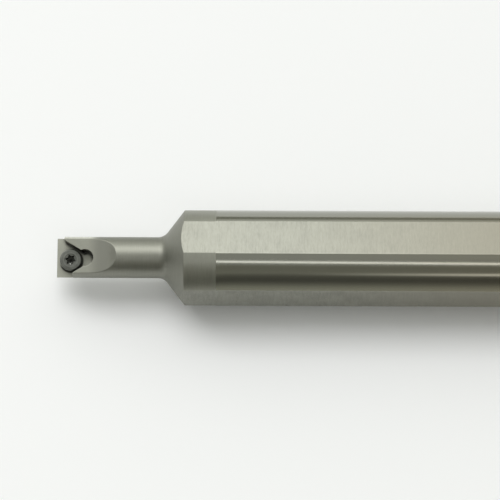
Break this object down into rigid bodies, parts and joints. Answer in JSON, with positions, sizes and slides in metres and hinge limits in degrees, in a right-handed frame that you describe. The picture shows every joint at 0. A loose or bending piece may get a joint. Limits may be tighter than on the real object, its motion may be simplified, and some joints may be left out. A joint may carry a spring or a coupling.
{
  "type": "internal threading boring bar with a clamp screw",
  "caption": "Steel boring bar for small bores: a round ground shank with flats, a cone, a slim neck and a milled head whose empty insert pocket holds its clamp screw.",
  "frame": {"origin": "on the shank's axis, where the ground shank begins", "axes": "+X along the shank to its rear end, the cutting end towards -X; +Z the normal of the top flat; -Y the cutting side"},
  "size_m": [0.125, 0.0155, 0.0148],
  "materials": {
    "bar_steel": "satin turned and ground alloy steel, thinly plated",
    "screw_steel": "dark oxide"
  },
  "bodies": {
    "bar": {"bar": "bar_steel"},
    "screw": {"clamp_screw": "screw_steel"}
  },
  "joints": [
    {"name": "screw_turn", "type": "hinge", "parent": "bar", "child": "screw", "pos_m": [-0.02433, -0.00014, -0.00111], "axis": [0, -0.3338, 0.9426], "range_deg": [0, 1800]}
  ]
}
